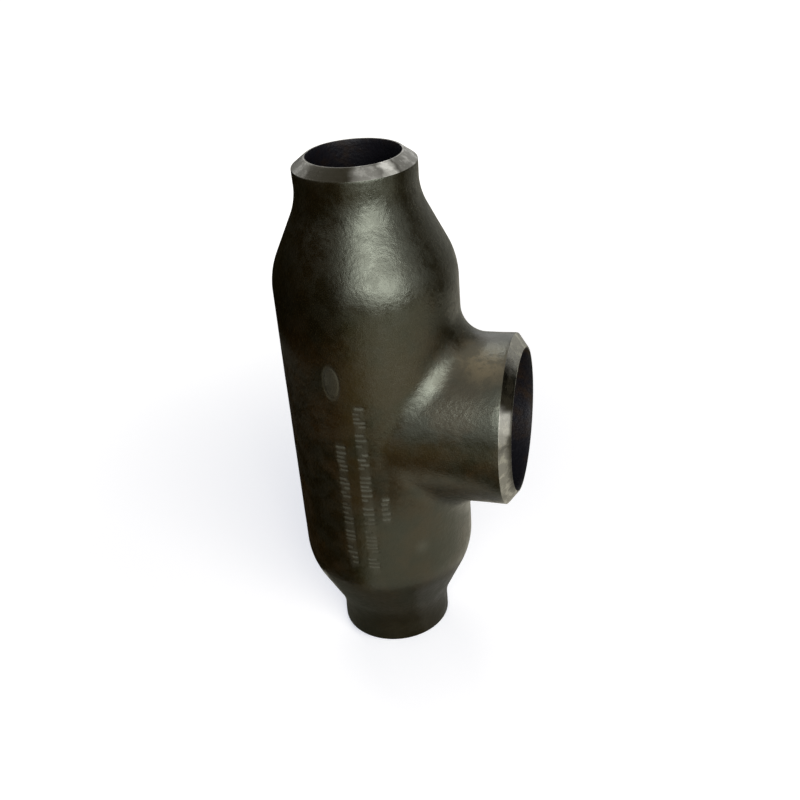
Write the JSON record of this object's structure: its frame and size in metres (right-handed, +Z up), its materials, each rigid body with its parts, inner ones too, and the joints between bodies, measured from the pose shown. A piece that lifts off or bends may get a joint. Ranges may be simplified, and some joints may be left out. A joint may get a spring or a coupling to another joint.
{
  "type": "reducing tee",
  "caption": "Heavy-wall butt-weld reducing tee whose run is necked in at its ends, with a larger outlet at a right angle and ends bevelled for welding.",
  "frame": {"origin": "centre of the lower run end's face, which the fitting stands on", "axes": "+Z up along the run, +X out along the outlet"},
  "size_m": [0.2354, 0.177, 0.53],
  "materials": {
    "black_steel": "black-brown mill scale under a thin oily coat, with a satin sheen, and bare grey metal on the weld bevels"
  },
  "bodies": {
    "root": {"tee_body": "black_steel"}
  },
  "joints": []
}
